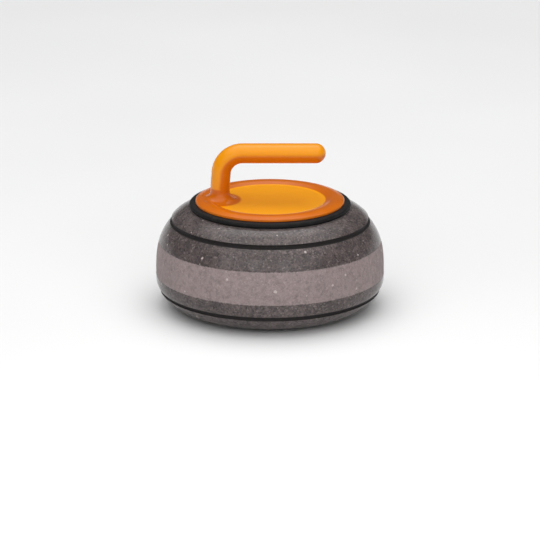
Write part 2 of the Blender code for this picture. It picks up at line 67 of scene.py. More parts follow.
# Places that come from the frame, in millimetres
STONE_RADIUS, LEDGE_Z = high("granite_body").x, high("granite_body").z
BODY_BASE_Z = low("granite_body").z
INSERT_RADIUS, INSERT_TOP = high("running_insert").x, high("running_insert").z
BOND_RADIUS, BOND_TOP = high("insert_bond").x, high("insert_bond").z
GASKET_OUTER, GASKET_BOTTOM = high("handle_gasket").x, low("handle_gasket").z
GASKET_TOP = high("handle_gasket").z
CAP_RADIUS, BOSS_BOTTOM = -low("handle_moulding").x, low("handle_moulding").z
CORE_END_X, GRIP_TOP = high("handle_core").x, high("handle_moulding").z
PLATE_RADIUS, PLATE_BOTTOM = high("hub_plate").x, low("hub_plate").z
PLATE_TOP = high("hub_plate").z
SPIGOT_BOTTOM, BUSH_TOP = low("thread_bush").z, high("thread_bush").z
BOLT_TIP, BOLT_HEAD_BOTTOM = high("centre_bolt").z, low("centre_bolt").z
SEAT_RADIUS, SEAT_BOTTOM, SEAT_TOP = (
    high("seat_collar").x,
    low("seat_collar").z,
    high("seat_collar").z,
)
NECK_X = (low("core_nut").x + high("core_nut").x) / 2

# Granite, in millimetres
GAP = 0.3
WIDEST_Z = 45.5
UPPER_EDGE_R, UPPER_EDGE_Z = 126.6, 110.5
LOWER_EDGE_R, LOWER_EDGE_Z = 141.9, 28.5
UPPER_BULGE, LOWER_BULGE, BASE_BULGE = 3.1, 3.4, 3.8  # powers of the outline's curves
GROOVE_WIDTH, GROOVE_DEPTH = 5.2, 2.8
GROOVE_STEP = 1.9  # how far the wall steps in across a groove
STRIKING_LOW, STRIKING_HIGH, STRIKING_DEPTH = 45, 86, 0.2
SHOULDER_TOP_R, CUP_RIM_R, CUP_FLOOR_R, CUP_FLOOR_Z = 102.5, 85.5, 79, 116
BORE_RADIUS = 8.5
BAND_INNER, BAND_OUTER = 62, 68
POCKET_R, POCKET_Z = 17, 22.5

# Handle, in millimetres
CAP_Z = 138  # the shallow dish in the cap's top
RIM_BOTTOM = GASKET_TOP + GAP
DISH_RADIUS, CREST_RADIUS = 70, 83
UNDERSIDE_Z = 135.3
HUB_BOSS_R = 20
GASKET_INNER = 87
SKIRT_INNER, SKIRT_OUTER, SKIRT_BOTTOM = 84, 86.5, 131
GRIP_END_X = CORE_END_X + 16
GRIP_RADIUS, NECK_RADIUS, FLARE_RADIUS = 12.5, 12, 13
GRIP_Z = GRIP_TOP - GRIP_RADIUS
ARM_WIDENING = 1.2  # the arm's section is this much wider in Y than it is tall
LEAN, LEAN_RADIUS, BEND_RADIUS = math.radians(5), 120, 27
PARTING_RIDGE = 0.09
SCREW_CIRCLE_R, SCREW_COUNT = 50, 6
CORE_RADIUS = 4.5

# Threads, in millimetres
BOLT_RADIUS, BOLT_PITCH = 4.76, 1.5875
CORE_PITCH, SCREW_PITCH = 1.25, 1.4

HANDLE_SEGMENTS = 216


# Outlines


def rounded(corners, closed=True, arc_step=math.radians(12)):
    """An outline of (r, z) points, with an arc at each (r, z, radius) corner that has a radius.

    Two corners share the run between them in proportion to their radii.
    """
    points = []
    count = len(corners)
    for i, (r, z, radius) in enumerate(corners):
        here = Vector((r, z))
        last, following = corners[i - 1], corners[(i + 1) % count]
        at_end = not closed and i in (0, count - 1)
        before, after = Vector(last[:2]) - here, Vector(following[:2]) - here
        if radius == 0 or at_end:
            points.append((r, z))
            continue
        half = before.angle(after) / 2
        room = [
            0.98 * run.length * radius / (radius + other[2])
            for run, other in ((before, last), (after, following))
        ]
        reach = min(radius / math.tan(half), *room)
        start = here + before.normalized() * reach
        end = here + after.normalized() * reach
        middle = (before.normalized() + after.normalized()).normalized()
        centre = here + middle * (reach / math.cos(half))
        turn = math.pi - 2 * half
        steps = max(2, round(turn / arc_step))
        side = 1 if (start - centre).cross(end - centre) > 0 else -1
        for k in range(steps + 1):
            spoke = Matrix.Rotation(side * turn * k / steps, 2) @ (start - centre)
            points.append(tuple(centre + spoke))
    return points


def divided(outline, step, closed=True):
    """The outline with its long runs divided into pieces no longer than step."""
    ends = outline[1:] + outline[:1] if closed else outline[1:]
    points = []
    for (r0, z0), (r1, z1) in zip(outline, ends):
        pieces = max(1, math.ceil(math.hypot(r1 - r0, z1 - z0) / step))
        points += [
            (r0 + (r1 - r0) * k / pieces, z0 + (z1 - z0) * k / pieces) for k in range(pieces)
        ]
    return points if closed else points + [outline[-1]]


def ring_corners(inner, outer, bottom, top, radius):
    return [(r, z, radius) for r, z in [(outer, top), (outer, bottom), (inner, bottom), (inner, top)]]


# Meshes


def piece_from(name, points, faces, smooth_deg=30):
    """A mesh piece from points in millimetres, with smooth shading up to an angle."""
    mesh = bpy.data.meshes.new(name)
    mesh.from_pydata([tuple(p) for p in np.asarray(points) * MM], [], faces)
    mesh.validate()
    obj = bpy.data.objects.new(name, mesh)
    bpy.context.scene.collection.objects.link(obj)
    bm = bmesh.new()
    bm.from_mesh(mesh)
    bmesh.ops.recalc_face_normals(bm, faces=bm.faces)
    bm.to_mesh(mesh)
    bm.free()
    shade(obj, smooth_deg)
    return obj


def shade(obj, smooth_deg=30):
    obj.data.shade_smooth()
    obj.data.set_sharp_from_angle(angle=math.radians(smooth_deg))


def ring_faces(first, second, count):
    """Faces between two rings of so many points, given each ring's first index."""
    turn = [(k, (k + 1) % count) for k in range(count)]
    return [(first + a, first + b, second + b, second + a) for a, b in turn]


def fan_faces(ring, tip, count):
    return [(ring + k, ring + (k + 1) % count, tip) for k in range(count)]


def angles(count):
    return np.arange(count) * TURN / count


def turned(name, outline, segments, rule=None, closed=True, smooth_deg=30):
    """A piece turned about Z. rule(r, z, angles) may give each ring its own radii.

    An outline that isn't closed starts and ends on the axis.
    """
    around = angles(segments)
    points, faces = [], []
    inner = outline if closed else outline[1:-1]
    for r, z in inner:
        radii = rule(r, z, around) if rule else np.full(segments, r)
        points += zip(radii * np.cos(around), radii * np.sin(around), np.full(segments, z))
    for i in range(len(inner) - (0 if closed else 1)):
        faces += ring_faces(i * segments, (i + 1) % len(inner) * segments, segments)
    if not closed:
        tips = len(points)
        points += [(0, 0, outline[0][1]), (0, 0, outline[-1][1])]
        faces += fan_faces(0, tips, segments)
        faces += fan_faces((len(inner) - 1) * segments, tips + 1, segments)
    return piece_from(name, points, faces, smooth_deg)


def flats(angle, pairs, across, sharpness=60):
    """Radii of a prism of so many pairs of flats, with its upright edges just rounded."""
    total = sum(np.abs(np.cos(angle - math.pi * k / pairs)) ** sharpness for k in range(pairs))
    return across / 2 / total ** (1 / sharpness)


def prism_corner(pairs, across):
    return across / 2 / math.cos(math.pi / 2 / pairs)


def prism_face(angle, pairs, across, face_r, r):
    """Radii from a circle of face_r out to a prism's outline, as r nears the prism's corners."""
    share = (r - face_r) / (prism_corner(pairs, across) - face_r)
    return face_r + (flats(angle, pairs, across) - face_r) * share


def chamfered(obj, face_z, face_r, slope):
    """Points of an end face outside face_r move off it onto a cone, up or down by slope's sign."""
    for vertex in obj.data.vertices:
        beyond = math.hypot(vertex.co.x, vertex.co.y) / MM - face_r
        if beyond > 0 and abs(vertex.co.z / MM - face_z) < 0.01:
            vertex.co.z += beyond / slope * MM
    return obj


def thread(z, angle, pitch, depth):
    """How far a right-hand thread's surface lies below its crests."""
    along = (z / pitch - angle / TURN) % 1
    height = np.clip(1.25 - np.abs(along - 0.5) * 3.2, 0, 1)
    return depth * (1 - height)


def fade(z, bottom, top, over):
    """1 between two heights and 0 outside, with a ramp over so many millimetres."""
    return min(max((z - bottom) / over, 0), 1) * min(max((top - z) / over, 0), 1)


def moved(obj, x=0.0, y=0.0):
    obj.data.transform(Matrix.Translation((x * MM, y * MM, 0)))
    return obj


def apply_modifiers(obj):
    bpy.context.view_layer.update()
    graph = bpy.context.evaluated_depsgraph_get()
    obj.data = bpy.data.meshes.new_from_object(obj.evaluated_get(graph))
    obj.modifiers.clear()
    return obj


def boolean(obj, other, operation, solver="EXACT"):
    """Cuts or joins obj with other, which is then deleted."""
    change = obj.modifiers.new("Change", "BOOLEAN")
    change.operation = operation
    change.solver = solver
    change.object = other
    apply_modifiers(obj)
    bpy.data.objects.remove(other)
    shade(obj)
    return obj


def helper(name, build):
    """An object to cut or join with, whose mesh is filled in by build(bm) in millimetres."""
    bm = bmesh.new()
    build(bm)
    bmesh.ops.scale(bm, vec=(MM, MM, MM), verts=bm.verts)
    mesh = bpy.data.meshes.new(name)
    bm.to_mesh(mesh)
    bm.free()
    obj = bpy.data.objects.new(name, mesh)
    bpy.context.scene.collection.objects.link(obj)
    return obj


def add_prism(bm, x, y, bottom, top, radius, sides=64, top_radius=None):
    bmesh.ops.create_cone(
        bm,
        cap_ends=True,
        segments=sides,
        radius1=radius,
        radius2=radius if top_radius is None else top_radius,
        depth=top - bottom,
        matrix=Matrix.Translation((x, y, (bottom + top) / 2)),
    )


def add_box(bm, corner, opposite, turn=0.0):
    size = [b - a for a, b in zip(corner, opposite)]
    middle = [(a + b) / 2 for a, b in zip(corner, opposite)]
    place = Matrix.Rotation(turn, 4, "Z") @ Matrix.Translation(middle) @ Matrix.Diagonal((*size, 1))
    bmesh.ops.create_cube(bm, size=1, matrix=place)


def add_cross(bm, bottom, top, reach, half_width):
    """A prism whose outline is a plus sign, with its four arms along X and Y."""
    arm = [(reach, -half_width), (reach, half_width), (half_width, half_width)]
    outline = []
    for _ in range(4):
        outline += arm
        arm = [(-y, x) for x, y in arm]
    face = bm.faces.new([bm.verts.new((x, y, bottom)) for x, y in outline])
    grown = bmesh.ops.extrude_face_region(bm, geom=[face])["geom"]
    raised = [v for v in grown if isinstance(v, bmesh.types.BMVert)]
    bmesh.ops.translate(bm, verts=raised, vec=(0, 0, top - bottom))
    bmesh.ops.recalc_face_normals(bm, faces=bm.faces)


def round_places(radius, count, first_deg=0.0):
    for k in range(count):
        angle = math.radians(first_deg) + TURN * k / count
        yield radius * math.cos(angle), radius * math.sin(angle)


def settle(obj, body, look, slot, *nodes):
    """Gives a finished piece its material and body, and hides the CAD nodes it stands for."""
    obj.data.materials.clear()
    obj.data.materials.append(look)
    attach(obj, body)
    if nodes:
        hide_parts(*nodes)
    return obj


# Materials


class Look:
    """A material whose Principled shader is fed by procedural nodes in object space."""

    def __init__(self, name, **settings):
        self.material = bpy.data.materials.new(name)
        self.material.use_nodes = True
        self.tree = self.material.node_tree
        self.shader = self.tree.nodes["Principled BSDF"]
        for socket, value in settings.items():
            self.shader.inputs[socket.replace("_", " ")].default_value = value
        coordinates = self.node("TexCoord")
        self.place = coordinates.outputs["Object"]
        self.normal = coordinates.outputs["Normal"]
        self.x, self.y, self.z = self.node("SeparateXYZ", {0: self.place}).outputs
        flat = self.node("CombineXYZ", {0: self.x, 1: self.y}).outputs[0]
        self.r = self.node("VectorMath", {0: flat}, operation="LENGTH").outputs["Value"]

    def node(self, kind, inputs=None, **settings):
        made = self.tree.nodes.new("ShaderNode" + kind)
        for key, value in settings.items():
            setattr(made, key, value)
        for key, value in (inputs or {}).items():
            self.feed(made.inputs[key], value)
        return made

    def feed(self, socket, value):
        if isinstance(value, bpy.types.NodeSocket):
            self.tree.links.new(value, socket)
        else:
            socket.default_value = value

    def math(self, operation, *values, clamp=False):
        inputs = dict(enumerate(values))
        return self.node("Math", inputs, operation=operation, use_clamp=clamp).outputs[0]

    def mix(self, factor, a, b, blend="MIX"):
        inputs = {0: factor, 6: a, 7: b}
        return self.node("Mix", inputs, data_type="RGBA", blend_type=blend).outputs[2]

    def mix_value(self, factor, a, b):
        return self.node("Mix", {0: factor, 2: a, 3: b}, data_type="FLOAT").outputs[0]

    def noise(self, size_mm, detail=3.0, roughness=0.5, place=None, distortion=0.0):
        inputs = {
            "Vector": place or self.place,
            "Scale": 1 / (size_mm * MM),
            "Detail": detail,
            "Roughness": roughness,
            "Distortion": distortion,
        }
        return self.node("TexNoise", inputs).outputs[0]

    def cells(self, size_mm, place=None, feature="F1"):
        inputs = {"Vector": place or self.place, "Scale": 1 / (size_mm * MM)}
        return self.node("TexVoronoi", inputs, feature=feature)

    def ramp(self, factor, stops, constant=False):
        made = self.node("ValToRGB", {0: factor})
        ramp = made.color_ramp
        ramp.interpolation = "CONSTANT" if constant else "LINEAR"
        while len(ramp.elements) < len(stops):
            ramp.elements.new(0.5)
        for element, (position, colour) in zip(ramp.elements, stops):
            element.position = position
            element.color = (*colour, 1)
        return made.outputs[0]

    def spread(self, value, start, end, first=0.0, last=1.0, smooth=True):
        """value from start to end becomes first to last."""
        inputs = {
            "Value": value,
            "From Min": start,
            "From Max": end,
            "To Min": first,
            "To Max": last,
        }
        kind = "SMOOTHSTEP" if smooth else "LINEAR"
        return self.node("MapRange", inputs, interpolation_type=kind).outputs[0]

    def between(self, value, bottom, top, soft):
        """1 where value is between two numbers, with soft edges."""
        rising = self.spread(value, bottom - soft, bottom + soft)
        falling = self.spread(value, top - soft, top + soft, 1.0, 0.0)
        return self.math("MULTIPLY", rising, falling)

    def wobbled(self, amount_mm, size_mm):
        """Object coordinates pushed about by noise, so that cells lose their straight sides."""
        inputs = {"Vector": self.place, "Scale": 1 / (size_mm * MM), "Detail": 2.0}
        push = self.node("TexNoise", inputs).outputs[1]
        centred = self.node("VectorMath", {0: push, 1: (0.5, 0.5, 0.5)}, operation="SUBTRACT")
        scaled = self.node(
            "VectorMath", {0: centred.outputs[0], "Scale": 2 * amount_mm * MM}, operation="SCALE"
        )
        return self.node("VectorMath", {0: self.place, 1: scaled.outputs[0]}).outputs[0]

    def bump(self, height, distance_mm, strength=1.0):
        inputs = {"Height": height, "Distance": distance_mm * MM, "Strength": strength}
        self.feed(self.shader.inputs["Normal"], self.node("Bump", inputs).outputs[0])

    def finish(self, colour, roughness=None):
        self.feed(self.shader.inputs["Base Color"], colour)
        if roughness is not None:
            self.feed(self.shader.inputs["Roughness"], roughness)
        return self.material


def minerals(look, grain_mm, stops, wobble):
    """Crystal grains: each cell takes one mineral's colour by a random number of its own."""
    place = look.wobbled(wobble * grain_mm, 1.5 * grain_mm)
    cell = look.cells(grain_mm, place)
    chance = look.node("SeparateXYZ", {0: cell.outputs["Color"]}).outputs[0]
    return look.ramp(chance, stops, constant=True)


def flecks(look, spacing_mm, largest):
    """Sparse round flecks, one in most cells, up to a radius that is a share of the cells' size."""
    cell = look.cells(spacing_mm, look.wobbled(1.2, 3))
    chance = look.node("SeparateXYZ", {0: cell.outputs["Color"]}).outputs[1]
    radius = look.spread(chance, 0.15, 1, -0.03, largest, smooth=False)
    edge = look.math("SUBTRACT", radius, cell.outputs["Distance"])
    return look.spread(edge, -0.012, 0.012)


def polished_granite():
    """Dark warm granite: polished all over but for the pecked striking band and the inside."""
    look = Look("polished_granite", IOR=1.5, Specular_IOR_Level=0.25)
    fine = minerals(
        look,
        1.6,
        [
            (0.0, (0.030, 0.025, 0.025)),
            (0.12, (0.070, 0.058, 0.057)),
            (0.50, (0.098, 0.080, 0.079)),
            (0.78, (0.135, 0.106, 0.103)),
            (0.95, (0.21, 0.178, 0.172)),
        ],
        0.35,
    )
    coarse = minerals(
        look,
        4.4,
        [
            (0.0, (0.062, 0.051, 0.051)),
            (0.3, (0.098, 0.080, 0.079)),
            (0.75, (0.135, 0.107, 0.105)),
        ],
        0.4,
    )
    stone = look.mix(0.42, fine, coarse)
    cloud = look.spread(look.noise(45, 3), 0.3, 0.7, 0.86, 1.12)
    stone = look.mix(1.0, stone, cloud, "MULTIPLY")

    edge_shift = look.math("MULTIPLY_ADD", look.noise(2.2, 4, 0.7), 3.4 * MM, -1.7 * MM)
    ragged_z = look.math("ADD", look.z, edge_shift)
    band = look.between(ragged_z, STRIKING_LOW * MM, STRIKING_HIGH * MM, 0.5 * MM)
    pecks = look.noise(0.9, 4, 0.75)
    bruises = look.noise(7, 4, 0.62)
    powder = look.math(
        "ADD",
        look.spread(pecks, 0.35, 0.65, 0.34, 0.64),
        look.spread(bruises, 0.3, 0.7, -0.12, 0.14),
        clamp=True,
    )
    frosted = look.mix(powder, look.mix(1.0, stone, (1.75, 1.65, 1.65, 1), "MULTIPLY"), (0.36, 0.29, 0.285, 1))
    stone = look.mix(band, stone, frosted)
    pale = look.math("MULTIPLY", flecks(look, 12, 0.16), 0.85)
    stone = look.mix(pale, stone, (0.5, 0.43, 0.41, 1))

    # Painted shade: the two grooves are coloured near black, standing in for the shade inside them; they are
    # also made matt.
    upper_groove = look.between(
        look.z, (UPPER_EDGE_Z - 0.1) * MM, (UPPER_EDGE_Z + GROOVE_WIDTH + 0.1) * MM, 0.2 * MM
    )
    lower_groove = look.between(
        look.z, (LOWER_EDGE_Z - GROOVE_WIDTH - 0.1) * MM, (LOWER_EDGE_Z + 0.1) * MM, 0.2 * MM
    )
    outside = look.spread(look.r, 118 * MM, 120 * MM)
    groove_shade_mask = look.math("MULTIPLY", look.math("ADD", upper_groove, lower_groove), outside)
    stone = look.mix(look.math("MULTIPLY", groove_shade_mask, 0.96), stone, (0.006, 0.004, 0.004, 1))

    in_cup = look.math(
        "MULTIPLY",
        look.spread(look.r, 101 * MM, 102 * MM, 1.0, 0.0),
        look.spread(look.z, 100 * MM, 101 * MM),
    )
    in_recess = look.spread(look.r, 77.2 * MM, 77.6 * MM, 1.0, 0.0)
    sawn = look.math("MAXIMUM", in_cup, in_recess)
    stone = look.mix(look.math("MULTIPLY", sawn, 0.45), stone, (0.26, 0.22, 0.21, 1))

    matt = look.math("MAXIMUM", look.math("MAXIMUM", band, groove_shade_mask), sawn)
    polish = look.spread(look.noise(14, 4), 0.35, 0.7, 0.13, 0.21)
    rough = look.spread(pecks, 0.3, 0.7, 0.5, 0.72)
    roughness = look.mix_value(matt, polish, rough)
    height = look.math("MULTIPLY", pecks, look.math("MAXIMUM", matt, 0.03))
    look.bump(height, 0.5, 0.6)
    return look.finish(stone, roughness)


def fine_granite():
    """Blue-grey, very fine-grained granite, frosted on the running band."""
    look = Look("fine_granite", IOR=1.52)
    stone = minerals(
        look,
        0.7,
        [
            (0.0, (0.03, 0.034, 0.04)),
            (0.35, (0.07, 0.08, 0.09)),
            (0.8, (0.12, 0.135, 0.145)),
            (0.96, (0.25, 0.26, 0.27)),
        ],
        0.3,
    )
    cloud = look.spread(look.noise(30, 3), 0.3, 0.7, 0.88, 1.1)
    stone = look.mix(1.0, stone, cloud, "MULTIPLY")
    bottom = look.spread(look.z, 0.6 * MM, 1.0 * MM, 1.0, 0.0)
    band = look.math(
        "MULTIPLY", look.between(look.r, BAND_INNER * MM, BAND_OUTER * MM, 0.4 * MM), bottom
    )
    scratches = look.noise(0.5, 4, 0.8)
    stone = look.mix(look.math("MULTIPLY", band, 0.5), stone, (0.3, 0.32, 0.33, 1))
    roughness = look.mix_value(band, look.spread(scratches, 0.3, 0.7, 0.26, 0.4), 0.62)
    look.bump(scratches, 0.12, 0.25)
    return look.finish(stone, roughness)


def orange_plastic():
    """Glossy orange moulding, with painted light and shade: a lighter orange on the dish, and a deeper orange
    painted as shade round the ring, the neck's foot, the underside and the bend's inner side.
    """
    look = Look("orange_plastic", IOR=1.45, Specular_IOR_Level=0.32)
    # Painted light: the dish's orange is lighter than the arm's, to make up for the light that the grip and
    # neck keep off the dish.
    dish_orange_painted_lighter, bright_arm = (0.94, 0.372, 0.003, 1), (0.8, 0.288, 0.003, 1)
    # Painted shade: this deeper orange stands in for shade on the ring, the neck's foot and the faces that
    # turn down or into the bend.
    painted_shade_orange = (0.56, 0.116, 0.002, 1)
    x_up, _, z_up = look.node("SeparateXYZ", {0: look.normal}).outputs
    # Painted shade on the cap's rim outside the dish.
    on_cap = look.spread(look.z, (CAP_Z + 4.5) * MM, (CAP_Z + 7) * MM, 1.0, 0.0)
    ring = look.math(
        "MULTIPLY", look.spread(look.r, (DISH_RADIUS - 1) * MM, (DISH_RADIUS + 1.5) * MM), on_cap
    )
    # Painted shade on faces that turn down, and near the neck on faces that turn towards +X, into the bend.
    by_neck = look.spread(look.x, (NECK_X + 30) * MM, (NECK_X + 55) * MM, 1.0, 0.0)
    facing = look.math("SUBTRACT", z_up, look.math("MULTIPLY", x_up, by_neck))
    underside_shade = look.spread(facing, -0.25, 0.3, 0.95, 0.0)
    # Painted shade round the neck's foot, where the arm shades the cap.
    foot_x = look.math("SUBTRACT", look.x, NECK_X * MM)
    foot_vector = look.node(
        "CombineXYZ", {0: foot_x, 1: look.math("DIVIDE", look.y, ARM_WIDENING)}
    ).outputs[0]
    foot_r = look.node("VectorMath", {0: foot_vector}, operation="LENGTH").outputs["Value"]
    near_foot = look.spread(foot_r, 24 * MM, 29 * MM, 1.0, 0.0)
    low_down = look.spread(look.z, (CAP_Z + 15) * MM, (CAP_Z + 18) * MM, 1.0, 0.0)
    foot = look.math("MULTIPLY", near_foot, low_down)
    # depth gathers the painted shade: the ring, the faces turned down or into the bend, and the neck's foot.
    depth = look.math("MAXIMUM", look.math("MAXIMUM", ring, underside_shade), foot)
    mottle = look.spread(look.noise(22, 3, 0.5), 0.25, 0.75, -0.03, 0.04)
    factor = look.math("ADD", look.math("MULTIPLY", depth, 0.92), mottle, clamp=True)
    bright = look.mix(look.spread(look.z, (CAP_Z + 2) * MM, (CAP_Z + 12) * MM), dish_orange_painted_lighter, bright_arm)
    colour = look.mix(factor, bright, painted_shade_orange)
    smudge = look.noise(11, 5, 0.65)
    roughness = look.spread(smudge, 0.35, 0.75, 0.16, 0.27)
    look.bump(look.mix_value(0.3, look.noise(2.4, 2), look.noise(0.6, 3, 0.6)), 0.012, 0.5)
    return look.finish(colour, roughness)


def rubber():
    look = Look("rubber", IOR=1.5, Specular_IOR_Level=0.22)
    dust = look.spread(look.noise(6, 5, 0.7), 0.45, 0.8)
    colour = look.mix(dust, (0.005, 0.0045, 0.0045, 1), (0.016, 0.015, 0.015, 1))
    roughness = look.spread(look.noise(1.5, 3), 0.3, 0.7, 0.55, 0.75)
    look.bump(look.noise(0.4, 3, 0.7), 0.05, 0.4)
    return look.finish(colour, roughness)


def zinc_steel():
    look = Look("zinc_steel", Metallic=1.0)
    tint = look.spread(look.noise(7, 4, 0.6), 0.3, 0.7)
    colour = look.mix(tint, (0.46, 0.46, 0.47, 1), (0.66, 0.65, 0.62, 1))
    grain = look.node("SeparateXYZ", {0: look.cells(1.1).outputs["Color"]}).outputs[0]
    colour = look.mix(1.0, colour, look.spread(grain, 0, 1, 0.86, 1.05), "MULTIPLY")
    roughness = look.spread(look.noise(2.5, 4, 0.6), 0.3, 0.7, 0.28, 0.46)
    look.bump(look.noise(0.35, 3, 0.6), 0.02, 0.5)
    return look.finish(colour, roughness)


def brass():
    look = Look("brass", Metallic=1.0)
    tarnish = look.spread(look.noise(5, 5, 0.6), 0.35, 0.75)
    colour = look.mix(tarnish, (0.72, 0.5, 0.2, 1), (0.42, 0.26, 0.09, 1))
    turning = look.math("SINE", look.math("MULTIPLY", look.r, TURN / (0.35 * MM)))
    roughness = look.spread(look.noise(1.2, 3), 0.3, 0.7, 0.2, 0.36)
    look.bump(turning, 0.008, 0.5)
    return look.finish(colour, roughness)


def epoxy():
    look = Look("epoxy", IOR=1.55)
    filler = look.cells(0.5, look.wobbled(0.2, 1)).outputs["Distance"]
    colour = look.mix(
        look.spread(filler, 0.1, 0.6), (0.3, 0.25, 0.18, 1), (0.19, 0.16, 0.12, 1)
    )
    roughness = look.spread(look.noise(3, 3), 0.3, 0.7, 0.3, 0.55)
    look.bump(filler, 0.06, 0.4)
    return look.finish(colour, roughness)


def nylon():
    look = Look("nylon", IOR=1.53)
    cloud = look.spread(look.noise(8, 3), 0.3, 0.7)
    colour = look.mix(cloud, (0.72, 0.7, 0.64, 1), (0.64, 0.61, 0.54, 1))
    turning = look.math("SINE", look.math("MULTIPLY", look.z, TURN / (0.4 * MM)))
    roughness = look.spread(look.noise(2, 3), 0.3, 0.7, 0.42, 0.58)
    look.bump(turning, 0.006, 0.5)
    return look.finish(colour, roughness)


# Stone


def power_curve(start, end, power, steps, from_step=0):
    """Points from start to end, where the height moves evenly and the radius by a power of it."""
    (r0, z0), (r1, z1) = start, end
    shares = [i / steps for i in range(from_step, steps + 1)]
    return [(r0 + (r1 - r0) * s**power, z0 + (z1 - z0) * s) for s in shares]


def bezier(start, control, end, steps):
    shares = [i / steps for i in range(steps + 1)]
    return [
        tuple((1 - t) ** 2 * a + 2 * t * (1 - t) * c + t * t * b for a, c, b in zip(start, control, end))
        for t in shares
    ]


def sharp(points):
    return [(r, z, 0) for r, z in points]


def groove_corners(edge_r, edge_z, direction, lip):
    """A round-bottomed groove that starts at an edge and runs down (-1) or up (1) the wall."""
    floor = edge_r - GROOVE_DEPTH
    return [
        (edge_r, edge_z, lip),
        (floor, edge_z + direction * 0.28 * GROOVE_WIDTH, 1.1),
        (floor - 0.1, edge_z + direction * 0.72 * GROOVE_WIDTH, 1.1),
        (edge_r - GROOVE_STEP, edge_z + direction * GROOVE_WIDTH, lip),
    ]


def granite_outline():
    """The granite's whole section, from the ledge down the outside and back up the inside."""
    lip = 0.45
    widest = (STONE_RADIUS, WIDEST_Z)
    upper_groove = groove_corners(UPPER_EDGE_R, UPPER_EDGE_Z, 1, lip)
    lower_groove = groove_corners(LOWER_EDGE_R, LOWER_EDGE_Z, -1, lip)
    shoulder = bezier((SHOULDER_TOP_R, LEDGE_Z), (116.6, 124.4), upper_groove[-1][:2], 16)
    upper_wall = power_curve(widest, (UPPER_EDGE_R, UPPER_EDGE_Z), UPPER_BULGE, 48)[::-1]
    lower_wall = power_curve(widest, (LOWER_EDGE_R, LOWER_EDGE_Z), LOWER_BULGE, 12)
    recess_r, recess_top = BOND_RADIUS + GAP, BOND_TOP + GAP
    base_top_r, base_top_z, _ = lower_groove[-1]
    base_steps = 36
    base = [
        (recess_r + (base_top_r - recess_r) * s, BODY_BASE_Z + (base_top_z - BODY_BASE_Z) * s**BASE_BULGE)
        for s in (1 - i / base_steps for i in range(1, base_steps))
    ]
    outside = (
        [(SHOULDER_TOP_R, LEDGE_Z, 0.8)]
        + sharp(shoulder[1:-1])
        + upper_groove[::-1]
        + sharp(upper_wall[1:])
        + sharp(lower_wall[1:-1])
        + lower_groove
        + sharp(base)
    )
    seat_floor, seat_wall = SEAT_BOTTOM - GAP, SEAT_RADIUS + GAP
    inside = [
        (recess_r, BODY_BASE_Z, 0.5),
        (recess_r, recess_top, 0.6),
        (BORE_RADIUS, recess_top, 0.5),
        (BORE_RADIUS, seat_floor, 0.5),
        (seat_wall, seat_floor, 0.4),
        (seat_wall, CUP_FLOOR_Z, 0.6),
        (CUP_FLOOR_R, CUP_FLOOR_Z, 4),
        (CUP_RIM_R - 1.5, LEDGE_Z - 1.5, 0),
        (CUP_RIM_R, LEDGE_Z, 0.6),
    ]
    return divided(rounded(outside + inside), 9)


def smoothstep(x):
    t = np.clip(x, 0, 1)
    return t * t * (3 - 2 * t)


def pecked_band(obj):
    """Sinks the striking band by a hair, makes it uneven and adds the marks of hard hits."""
    mesh = obj.data
    co = np.empty(len(mesh.vertices) * 3)
    mesh.vertices.foreach_get("co", co)
    co = co.reshape(-1, 3) / MM
    radius = np.hypot(co[:, 0], co[:, 1])
    outer = radius > 120
    z = co[:, 2]
    band = smoothstep((z - STRIKING_LOW + 0.6) / 1.2) * smoothstep((STRIKING_HIGH - z + 0.6) / 1.2)
    depth = STRIKING_DEPTH * band
    random = np.random.default_rng(7)
    for _ in range(70):
        angle = random.uniform(0, TURN)
        height = random.normal(64, 8)
        size = random.uniform(1.6, 4.2)
        across = (np.arctan2(co[:, 1], co[:, 0]) - angle + math.pi) % TURN - math.pi
        distance = np.hypot(across * STONE_RADIUS, z - height) / size
        depth += 0.14 * size / 2 * (1 - smoothstep(distance)) * band
    ripple = np.array(
        [noise.noise(Vector(p) * 0.22) + 0.5 * noise.noise(Vector(p) * 0.47) for p in co[outer & (band > 0)]]
    )
    depth[outer & (band > 0)] += 0.1 * (ripple + 0.6) * band[outer & (band > 0)]
    shrink = np.where(outer, (radius - np.maximum(depth, 0)) / np.maximum(radius, 1), 1)
    co[:, :2] *= shrink[:, None]
    mesh.vertices.foreach_set("co", (co * MM).ravel())
    mesh.update()


def granite_body(look):
    body = turned("stone_body", granite_outline(), 320, smooth_deg=50)
    pecked_band(body)
    return settle(body, "stone", look, "polished_granite", "granite_body")


def running_insert(look):
    bottom = bezier((BAND_INNER - 0.2, 0.05), (59, 3.4), (52, 4.2), 10)
    corners = (
        [(INSERT_RADIUS, INSERT_TOP, 0.8), (INSERT_RADIUS, 0.9, 0.5), (BAND_OUTER, 0, 1.2)]
        + [(BAND_INNER + 0.4, 0, 0.8)]
        + sharp(bottom[1:])
        + [(40, 5.0, 20), (POCKET_R + 0.8, 5.4, 0.5), (POCKET_R, 6.2, 0.4), (POCKET_R, POCKET_Z, 0.8)]
        + [(BORE_RADIUS, POCKET_Z, 0.5), (BORE_RADIUS, INSERT_TOP, 0.5)]
    )
    insert = turned("ice_insert", divided(rounded(corners), 5), 288)
    return settle(insert, "stone", look, "fine_granite", "running_insert")


def insert_bond(look):
    inner, top_inner = INSERT_RADIUS + GAP, INSERT_TOP + GAP
    corners = [
        (BOND_RADIUS, BOND_TOP, 0.3),
        (BOND_RADIUS, 1.6, 0.25),
        (inner, 1.6, 0.25),
        (inner, top_inner, 0.2),
        (BORE_RADIUS, top_inner, 0.2),
        (BORE_RADIUS, BOND_TOP, 0.2),
    ]
    bond = turned("epoxy_bond", divided(rounded(corners), 8), 192)
    return settle(bond, "stone", look, "epoxy", "insert_bond")


